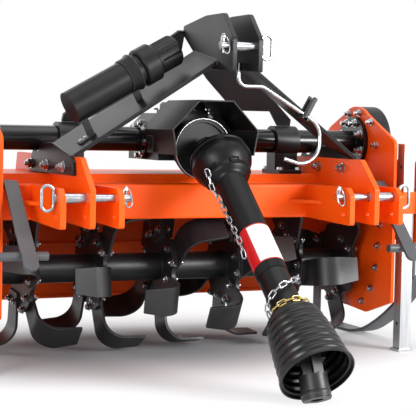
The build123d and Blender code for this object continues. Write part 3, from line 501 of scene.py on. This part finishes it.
def canisterLine():
    # the line from the canister's bottom to its lid, whose angle zero is across and a quarter turn is down
    start, normal = np.array(canisterMount["start"], dtype=float), mastArm(-1)[3]
    run = unit(jointPlace("canister_lid_turn") - start)
    return start, run, unit(np.cross(run, normal))


def makeCanisterRail():
    # a rail under the canister on two posts, with a bolted tab on the left arm
    c = canisterMount
    start, run, side = canisterLine()
    face, up = mastArm(-1)[0], mastArm(-1)[3]
    down = np.cross(run, side)

    def onArm(distance):
        # the place on the arm's face below the canister's line
        point = start + run * distance
        return point + down * ((point - face) @ up / -(down @ up))

    half, under = side * c["width"] / 2, down * (c["radius"] + c["thick"] / 2 - c["sunk"])
    first, last = start + run * c["railFrom"], start + run * c["railTo"]
    plates = [(np.array([first - half, first + half, last + half, last - half]) + under, down * c["thick"])]
    for near in c["posts"]:
        far = near + c["postLong"]
        post = [start + run * near + under, start + run * far + under, onArm(far), onArm(near)]
        plates.append((post, side * c["thick"]))
    foot = onArm(c["posts"][0])
    back = unit(foot - onArm(c["posts"][0] + 1))
    tab, root = foot + back * c["tabReach"], foot - back * c["postLong"]
    outline = np.array([tab - half, tab + half, root + half, root - half])
    plates.append((outline + up * c["thick"] / 2, up * c["thick"]))
    piece = platesPiece("canisterRail", plates, edgeMm=1.2)
    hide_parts("canister_rail")
    heads = [tab + up * c["thick"] - back * inward for inward in c["headsIn"]]
    bolts("railHeads", c["headSize"], inFrame(heads), [up, up])


def makeCanisterStrap():
    # one strap round the canister, flared towards the lid
    c = canisterMount
    inner, start, end = c["radius"] + c["strapClear"], c["strapFrom"], c["strapTo"]
    outer, flare = inner + c["strapThick"], inner + c["flareThick"]
    profile = [(inner, start), (outer - 0.8, start), (outer, start + 2), (outer, end - c["flareLong"]),
               (flare, end - 3), (flare, end), (inner, end)]
    turnedOnLine("canisterStrap", canisterLine(), profile, blackSatin, "frame")


gearTop = {
    # half width, half length and height of each row of the cover
    "rows": [(62, 100, 748), (62, 100, 762), (54, 92, 764), (53, 91, 780), (47, 84, 787)],
    "middleY": 410, "cornerPower": 4.0, "sides": 48, "headSize": 8, "headX": 57.5, "headY": (330, 410, 490),
    "frontHeadY": 316, "headZ": 762,
}


def makeGearTop():
    # cover on the gearbox and its bolts: the outline is each half axis times the angle's cosine or sine,
    # with the size of that wave raised to the power of two over cornerPower
    g = gearTop
    angle = fullTurn(g["sides"])
    waves = np.stack([np.cos(angle), np.sin(angle)])
    across, along = np.sign(waves) * np.abs(waves) ** (2 / g["cornerPower"])
    rows = np.array(g["rows"], dtype=float)
    points = np.stack([rows[:, :1] * across, g["middleY"] + rows[:, 1:2] * along,
                       np.repeat(rows[:, 2:], g["sides"], axis=1)], -1)
    faces = [gridFaces(len(rows), g["sides"]), capFaces(len(rows), g["sides"])]
    newPiece("gearTopCover", inFrame(points), faces, blackSatin, "frame")
    tops = [(x, y, g["headZ"]) for x in (-g["headX"], g["headX"]) for y in g["headY"]]
    tops.append((0, g["frontHeadY"], g["headZ"]))
    bolts("gearTopHeads", g["headSize"], inFrame(tops), np.tile([0, 0, 1.0], (len(tops), 1)))


gearFront = {"headSize": 10, "headY": 306, "headRadius": 112, "headDegrees": (35, 62, 118, 145),
             "ringRadius": 91.5, "ringY": 239, "ringWire": 2.6, "ringPoints": 72}


def makeGearFront():
    # bolts on the front flange's upper half, and the bright ring round the input
    g = gearFront

    def roundInput(angle, radius, y):
        around = np.stack([np.cos(angle), 0 * angle, np.sin(angle)], -1)
        return inFrame([0, y, shaftFront[2]] + radius * around)

    heads = roundInput(np.radians(g["headDegrees"]), g["headRadius"], g["headY"])
    bolts("gearFrontHeads", g["headSize"], heads, np.tile([0, -1.0, 0], (len(heads), 1)))
    ring = roundInput(fullTurn(g["ringPoints"]), g["ringRadius"], g["ringY"])
    wireRing("inputRing", ring, g["ringWire"], (0, 1, 0.01))


# nuts and heads of the frame; a ring has a radius, a count, its first place in degrees, and how many are used
frameBolts = {
    "foot": {"size": 16, "x": 472.5, "behindX": 444.5, "y": (161, 315, 475), "z": 590},
    "tubeFlange": {"size": 14, "x": 629, "radius": 69, "count": 8, "first": 22.5},
    "neckFlange": {"size": 10, "x": 138, "radius": 51, "count": 8, "first": 10},
    "sidePlate": {"size": 12, "x": 645, "yz": [(254, 405), (260, 334), (271, 261), (296, 190), (352, 140)]},
    "sideCollar": {"size": 12, "x": 645, "yz": [(472, 764), (405, 767), (326, 738), (291, 661)]},
    "saddle": {"size": 12, "x": (338, 400), "y": (380, 480), "z": 576},
    "caseTop": {"size": 10, "x": 713, "radius": 104, "count": 9, "first": 10, "used": 7},
    "caseLow": {"size": 10, "x": 713, "radius": 134, "count": 13, "first": 170, "used": 8},
    "bearing": {"size": 12, "x": -701, "radius": 78, "count": 6, "first": 15},
}


def ringPlaces(ring, middle):
    # evenly spaced places round a circle across X, about a (y, z) middle
    angle = math.radians(ring["first"]) + fullTurn(ring["count"])
    places = sideView(ring["x"], middle + ring["radius"] * np.stack([np.cos(angle), np.sin(angle)], -1))
    return places[:ring.get("used")]


def makeFrameBolts():
    # bolts of the mast's feet, the cross tubes, the side plates, the saddles, the gear case and the bearing
    foot, flange, neck, plate, collar, saddle, caseTop, caseLow, bearing = frameBolts.values()
    tube, rotor = (crossTube["y"], crossTube["z"]), rotorMiddle[1:]
    for name, x, axis, stud in (("footNuts", foot["x"], toRight, 7),
                                ("footHeads", foot["behindX"], -toRight, 10)):
        mirroredBolts(name, foot["size"], [(x, y, foot["z"]) for y in foot["y"]], axis, stud)
    mirroredBolts("tubeFlangeNuts", flange["size"], ringPlaces(flange, tube), -toRight, stud=13)
    mirroredBolts("sideCollarNuts", collar["size"], sideView(collar["x"], collar["yz"]), -toRight, stud=10)
    mirroredBolts("neckFlangeHeads", neck["size"], ringPlaces(neck, tube), toRight)
    mirroredBolts("sidePlateNuts", plate["size"], sideView(plate["x"], plate["yz"]), -toRight, stud=5)
    tops = [(x, y, saddle["z"]) for x in saddle["x"] for y in saddle["y"]]
    mirroredBolts("saddleBolts", saddle["size"], tops, np.array([0, 0, 1.0]))
    cover = np.concatenate([ringPlaces(caseTop, tube), ringPlaces(caseLow, rotor)])
    bolts("gearCaseBolts", caseTop["size"], inFrame(cover), np.tile(toRight, (len(cover), 1)))
    ends = ringPlaces(bearing, rotor)
    bolts("bearingBolts", bearing["size"], inFrame(ends), np.tile(-toRight, (len(ends), 1)))


rotorBolts = {
    "size": 12, "stud": 4, "radius": 112, "spacing": 54, "lean": 22, "blade": 8,
    "flanges": (-496, -268, -40, 188, 416, 608), "flangeHalf": 6,
    "pairs": 3, "first": 26, "handStep": 66, "rowStep": -17,
}


def makeRotorBolts():
    # two bolts through each blade's foot, as the reel places its blades
    b = rotorBolts
    half, lean = np.array([-0.5, 0.5]) * b["spacing"], math.radians(b["lean"])
    y, z = half * math.cos(lean), b["radius"] - half * math.sin(lean)
    places, axes = [], []
    for row, x in enumerate(b["flanges"]):
        # 1 is a blade on the flange's right face and -1 one on its left; the last flange has only those
        hands = (-1,) if x == b["flanges"][-1] else (1, -1)
        for pair, hand in [(pair, hand) for pair in range(b["pairs"]) for hand in hands]:
            angle = b["first"] + b["rowStep"] * row + 360 / b["pairs"] * pair
            turn = math.radians(180 - angle - (b["handStep"] if hand < 0 else 0))
            c, s = math.cos(turn), math.sin(turn)
            foot = np.stack([y * c - z * s, y * s + z * c], -1)
            for reach, way in ((b["flangeHalf"] + b["blade"], hand), (-b["flangeHalf"], -hand)):
                places.append(rotorMiddle + sideView(x + hand * reach, foot))
                axes.append(np.tile(way * toRight, (2, 1)))
    places, axes = inFrame(np.concatenate(places)), np.concatenate(axes)
    bolts("bladeBolts", b["size"], places, axes, "rotor", stud=b["stud"])


pinRings = {
    "tops": {"linchRingLeft": (-341.5, 0, 534), "linchRingRight": (341.5, 0, 534),
             "linchRingTop": (-64, -30, 970.5)},
    "wire": 2.1, "halfWidth": 12.5, "halfHeight": 27, "drop": 12, "lift": 4, "points": 48,
    "headSunk": 3, "head": [(4.6, -3), (6.5, -1), (6.5, 8), (4.4, 11)],
}


def makePinRings():
    # linch pins: an oval spring ring hung from a small drilled head and closed in front of the pin's end
    p = pinRings
    angle = fullTurn(p["points"])
    hang = np.sin(angle) - 1
    oval = np.stack([p["halfWidth"] * np.cos(angle), p["drop"] * hang, p["lift"] + p["halfHeight"] * hang],
                    -1)
    for name, top in p["tops"].items():
        wireRing(name, inFrame(top + oval), p["wire"], (0, 1, 0.3))
        head = inFrame([np.array(top) - [0, 0, p["headSunk"]]])
        turnedPieces(name + "Head", p["head"], head, [(0, 0, 1)], sides=20)


label = {"from": 357, "to": 492, "firstDegree": -35, "lastDegree": 205, "radius": 45.8,
         "rows": 3, "columns": 61}


def makeLabel():
    # a blank band of film wrapped round the guard tube
    rows, columns = label["rows"], label["columns"]
    angle = np.radians(np.linspace(label["firstDegree"], label["lastDegree"], columns))
    distance = np.linspace(label["from"], label["to"], rows)
    points = roundLine(shaftLine, distance[:, None], angle[None], label["radius"])
    faces = [gridFaces(rows, columns, wrapColumns=False)]
    piece = newPiece("shaftLabel", points, faces, labelSkin, "shaft_upper")
    u, v = np.meshgrid(np.linspace(0, 1, columns), np.linspace(0, 1, rows))
    uv = np.stack([u, v], -1).reshape(-1, 2)
    corners = np.empty(len(piece.data.loops), dtype=np.int32)
    piece.data.loops.foreach_get("vertex_index", corners)
    layer = piece.data.uv_layers.new(name="UVMap")
    layer.data.foreach_set("uv", uv[corners].astype(np.float32).ravel())


bell = {
    "rim": [(82, 24), (87, 25), (88, 33), (84.5, 36), (84.5, 44), (88, 50), (91, 60), (90.5, 70), (86, 84),
            (78, 98), (69, 110), (66.5, 113), (66.5, 127), (62, 134), (52, 139)],
    "wall": 4, "tubeInner": 44.4, "tubeOuter": 45.4, "tubeFrom": 150, "tubeTo": 520,
}


def makeBell():
    # a bulged bell, open to the front joint and drawn in to the upper tube
    rim = np.array(bell["rim"], dtype=float)
    outer, inner, start, end = bell["tubeOuter"], bell["tubeInner"], bell["tubeFrom"], bell["tubeTo"]
    tube = [(outer + 1.5, start - 4), (outer, start), (outer, end - 1), (outer - 0.4, end), (inner, end),
            (inner, start), (inner, start - 12)]
    inside = (rim[::-1] - [bell["wall"], 0])[1:]
    profile = np.concatenate([rim, tube, inside])
    piece = turnedOnLine("bellAndTube", shaftLine, profile, guardPlastic, "shaft_upper",
                         sides=72)
    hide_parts("upper_guard")


lowerTube = {"outer": 43.6, "wall": 3, "from": 300, "to": 668}


def makeLowerTube():
    # the tube that slides just inside the upper one
    outer, inner = lowerTube["outer"], lowerTube["outer"] - lowerTube["wall"]
    start, end = lowerTube["from"], lowerTube["to"]
    profile = [(inner, start), (outer, start), (outer, end), (inner, end)]
    piece = turnedOnLine("lowerTube", shaftLine, profile, guardPlastic, "shaft_lower")
    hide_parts("lower_guard")


latches = {"count": 6, "from": 106, "to": 130, "degreesWide": 32, "points": 8,
           "edgeShare": 0.01, "edgeSunk": 1.0, "rimShare": 0.2, "rimHigh": 3.4, "middleSunk": 2.0}


def makeLatches():
    # windows round the bell's shoulder: raised rims, sunk into it outside and inside
    b, n = latches, latches["points"]
    u, v = np.linspace(-0.5, 0.5, n), np.linspace(0, 1, n)
    distance = b["from"] + v * (b["to"] - b["from"])
    border = np.minimum.outer(np.minimum(v, 1 - v), 0.5 - np.abs(u))
    lift = np.where(border < b["rimShare"], b["rimHigh"], -b["middleSunk"])
    lift[border < b["edgeShare"]] = -b["edgeSunk"]
    rim = np.array(bell["rim"], dtype=float)
    surface = np.interp(distance, rim[:, 1], rim[:, 0])[:, None] + lift
    middles = fullTurn(b["count"]) + np.pi / 2
    patches = [roundLine(shaftLine, distance[:, None], middle + u * math.radians(b["degreesWide"]), surface)
               for middle in middles]
    faces = [copiedFaces(gridFaces(n, n, wrapColumns=False), b["count"], n * n)]
    newPiece("bellLatches", np.stack(patches), faces, guardPlastic, "shaft_upper")


ribbedSleeve = {
    # rows of (radius, distance) before and after the ribbed cone, outside and then inside
    "collar": [(46.5, 640), (47.3, 642), (47.3, 657), (54.5, 662)],
    "lip": [(103, 858), (103, 867), (101.8, 868), (98.5, 868), (97.5, 858)],
    "bore": [(48.5, 666), (40.5, 656), (40.5, 640)],
    "coneFrom": 668, "coneTo": 856, "coneSmall": 61, "coneLarge": 95.9, "wall": 4.5,
    "ribs": 8, "ribHigh": 4.6, "ribPower": 1.6, "ribPoints": 10,
}


def makeRibbedSleeve():
    # rubber cone whose radius grows with the square root of the way along, under narrow rounded ribs
    r = ribbedSleeve
    way = np.linspace(0, 1, r["ribs"] * r["ribPoints"] + 1)
    swell = r["coneSmall"] + (r["coneLarge"] - r["coneSmall"]) * np.sqrt(way)
    ribbed = swell + r["ribHigh"] * np.abs(np.sin(np.pi * r["ribs"] * way)) ** r["ribPower"]
    outside = np.stack([ribbed, np.interp(way, [0, 1], [r["coneFrom"], r["coneTo"]])], -1)
    inside = (outside - [r["wall"], 0])[::-1]
    profile = np.concatenate([r["collar"], outside, r["lip"], inside, r["bore"]])
    piece = turnedOnLine("ribbedSleeve", shaftLine, profile, sleeveRubber, "shaft_lower",
                         sides=96)
    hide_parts("bellows")


# rows of (radius, distance past the rear joint)
lockCollar = [(36, 92), (39, 93), (40, 96), (40, 103), (38.6, 104.5), (38.6, 107), (40, 108.5), (40, 111),
              (39, 113), (36, 114)]
sleeveClamp = {"radius": 48.2, "distance": 646, "wire": 1.5, "sides": 10}


def makeShaftTrim():
    # sliding lock collar on the end yoke's splined hub, and the wire clamp round the sleeve's neck
    turnedOnLine("yokeLockCollar", yokeLine, lockCollar, forgedBlack, "end_yoke")
    angle, c = fullTurn(sleeveClamp["sides"]), sleeveClamp
    section = [c["radius"], c["distance"]] + c["wire"] * np.stack([np.cos(angle), np.sin(angle)], -1)
    turnedOnLine("bellowsClamp", shaftLine, section, zinc, "shaft_lower")


chainLinks = {"guard_chain": zinc, "tether_chain": zinc, "bellows_chain": yellowZinc}


def makeChains():
    # round bar links: the plain links' merged copies with every edge rounded over
    for nodeName, material in chainLinks.items():
        mesh = nodes[nodeName].data.copy()
        shell = bmesh.new()
        shell.from_mesh(mesh)
        bmesh.ops.remove_doubles(shell, verts=shell.verts, dist=1e-6)
        bmesh.ops.dissolve_limit(shell, angle_limit=math.radians(1), verts=shell.verts, edges=shell.edges)
        shell.to_mesh(mesh)
        shell.free()
        mesh.materials.clear()
        mesh.materials.append(material)
        mesh.polygons.foreach_set("use_smooth", np.ones(len(mesh.polygons), dtype=bool))
        piece = bpy.data.objects.new(nodeName + "Round", mesh)
        bpy.context.collection.objects.link(piece)
        roundEdges(piece, "roundBar", widthMm=1.2, fromDegrees=30)
        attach(piece, "shaft_upper" if nodeName == "guard_chain" else "shaft_lower")
        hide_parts(nodeName)


makeMast()
makeCanisterRail()
makeCanisterStrap()
makeGearTop()
makeGearFront()
makeFrameBolts()
makeRotorBolts()
makePinRings()
makeLabel()
makeBell()
makeLowerTube()
makeLatches()
makeRibbedSleeve()
makeShaftTrim()
makeChains()
print("trim made")


# the shadow grey and the shade oval make a painted shadow on the floor under the machine; both greys are
# faintly blue, against the orange light the machine throws onto the floor
studio = {
    "floorSize": 14.0, "floorColour": "#F6F8FA", "paintedShadowColour": "#8E9194", "worldLight": 0.5,
    "shade": {"centre": (-0.1, 0.35), "reach": (1.3, 0.8), "start": 0.1, "end": 1.0},
    "fade": {"centre": (-0.143, 0.24), "reach": (1.43, 0.8), "start": 0.35, "end": 1.3},
}


def ovalRamp(tree, coords, centre, reach, start, end):
    # from 0 to 1 between two distances from the centre, measured as shares of the reach along X and Y
    place = addNode(tree, "ShaderNodeMapping", {
        "Scale": (1 / reach[0], 1 / reach[1], 1),
        "Location": (-centre[0] / reach[0], -centre[1] / reach[1], 0)}, {"Vector": (coords, "Object")})
    away = addNode(tree, "ShaderNodeVectorMath", {"operation": "LENGTH"}, {0: (place, "Vector")})
    return addNode(tree, "ShaderNodeMapRange", {
        "interpolation_type": "SMOOTHSTEP", "From Min": start, "From Max": end}, {"Value": (away, "Value")})


def makeFloor():
    # a pale floor with a painted shadow under the machine, whose colour melts into the white background away
    # from it
    corner = np.array([-1.0, 1.0]) * studio["floorSize"] / 2
    x, y = np.meshgrid(corner, corner)
    mesh = bpy.data.meshes.new("floor")
    mesh.from_pydata(np.column_stack([x.ravel(), y.ravel(), np.zeros(4)]).tolist(), [], [(0, 1, 3, 2)])
    floor = bpy.data.objects.new("floor", mesh)
    bpy.context.collection.objects.link(floor)
    material, tree, shader, coords = newMaterial("paleFloor", {"Roughness": 0.9})
    # painted shadow: the colour goes from the shadow grey under the machine to the floor colour away from it
    shade = ovalRamp(tree, coords, **studio["shade"])
    tone = addNode(tree, "ShaderNodeMix", {
        "data_type": "RGBA", "A": linear(studio["paintedShadowColour"]), "B": linear(studio["floorColour"])},
        {"Factor": (shade, "Result")})
    tree.links.new(tone.outputs["Result"], shader.inputs["Base Color"])
    fade = ovalRamp(tree, coords, **studio["fade"])
    path = addNode(tree, "ShaderNodeLightPath")
    seen = addNode(tree, "ShaderNodeMath", {"operation": "MAXIMUM"},
                   {0: (path, "Is Camera Ray"), 1: (path, "Is Glossy Ray")})
    factor = addNode(tree, "ShaderNodeMath", {"operation": "MULTIPLY"},
                     {0: (fade, "Result"), 1: (seen, "Value")})
    white = addNode(tree, "ShaderNodeEmission", {"Color": (1, 1, 1, 1), "Strength": 1.0})
    mix = addNode(tree, "ShaderNodeMixShader", {},
                  {0: (factor, "Value"), 1: (shader, "BSDF"), 2: (white, "Emission")})
    output = next(node for node in tree.nodes if node.type == "OUTPUT_MATERIAL")
    tree.links.new(mix.outputs["Shader"], output.inputs["Surface"])
    mesh.materials.append(material)


def makeWorld():
    # a white surround that is seen at full strength and lights the machine at the worldLight's strength
    world = bpy.data.worlds.new("studio")
    bpy.context.scene.world = world
    world.use_nodes = True
    tree = world.node_tree
    tree.nodes.clear()
    path = addNode(tree, "ShaderNodeLightPath")
    sharp = addNode(tree, "ShaderNodeMath", {"operation": "MAXIMUM"},
                    {0: (path, "Is Camera Ray"), 1: (path, "Is Transmission Ray")})
    seen = addNode(tree, "ShaderNodeMath", {"operation": "MAXIMUM"},
                   {0: (sharp, "Value"), 1: (path, "Is Glossy Ray")})
    strength = addNode(tree, "ShaderNodeMapRange", {"To Min": studio["worldLight"], "To Max": 1.0},
                       {"Value": (seen, "Value")})
    background = addNode(tree, "ShaderNodeBackground", {"Color": (1, 1, 1, 1)},
                         {"Strength": (strength, "Result")})
    output = addNode(tree, "ShaderNodeOutputWorld")
    tree.links.new(background.outputs["Background"], output.inputs["Surface"])


lamps = {
    "leftSoftbox": {"place": (-3.9, -2.9, 1.3), "target": (-0.2, 0, 0.45), "size": (2.2, 1.5), "power": 116},
    "rightSoftbox": {"place": (2.3, -3.1, 1.5), "target": (0.1, 0, 0.4), "size": (1.8, 1.2), "power": 190},
    "topLight": {"place": (0.2, -0.4, 3.6), "target": (0, 0, 0.4), "size": (3.4, 2.4), "power": 46},
    "sheenLight": {"place": (-2.3, 4.4, 1.0), "target": (0, 0, 0.5), "size": (2.6, 1.6), "power": 14},
    "rimLight": {"place": (-0.3, 3.8, 3.2), "target": (0, 0, 0.5), "size": (3.0, 1.6), "power": 20},
}


def makeLamps():
    # rectangular area lights, each turned to its target
    for name, lamp in lamps.items():
        data = bpy.data.lights.new(name, "AREA")
        data.shape, data.energy = "RECTANGLE", lamp["power"]
        data.size, data.size_y = lamp["size"]
        light = bpy.data.objects.new(name, data)
        light.location = lamp["place"]
        aim = Vector(lamp["target"]) - Vector(lamp["place"])
        light.rotation_euler = aim.to_track_quat("-Z", "Y").to_euler()
        bpy.context.collection.objects.link(light)


view = {"place": (-1.70457, -3.70484, 0.71915), "yaw": 24.41, "dip": 3.51, "roll": 1.14, "lens": 117.9,
        "sensor": 36.0, "farthest": 60.0}


def makeCamera():
    # low three-quarter view from the tractor side
    yaw, dip, roll = (math.radians(view[turn]) for turn in ("yaw", "dip", "roll"))
    forward = Vector((math.sin(yaw) * math.cos(dip), math.cos(yaw) * math.cos(dip), -math.sin(dip)))
    level = Vector((math.cos(yaw), -math.sin(yaw), 0))
    above = level.cross(forward)
    right = level * math.cos(roll) + above * math.sin(roll)
    up = above * math.cos(roll) - level * math.sin(roll)
    data = bpy.data.cameras.new("camera")
    data.sensor_width, data.lens, data.clip_end = view["sensor"], view["lens"], view["farthest"]
    camera = bpy.data.objects.new("camera", data)
    turned = Matrix((right, up, -forward)).transposed().to_4x4()
    camera.matrix_world = Matrix.Translation(view["place"]) @ turned
    bpy.context.collection.objects.link(camera)
    bpy.context.scene.camera = camera


makeFloor()
makeWorld()
makeLamps()
makeCamera()
bpy.context.scene.view_settings.view_transform = "Standard"
print("studio ready")
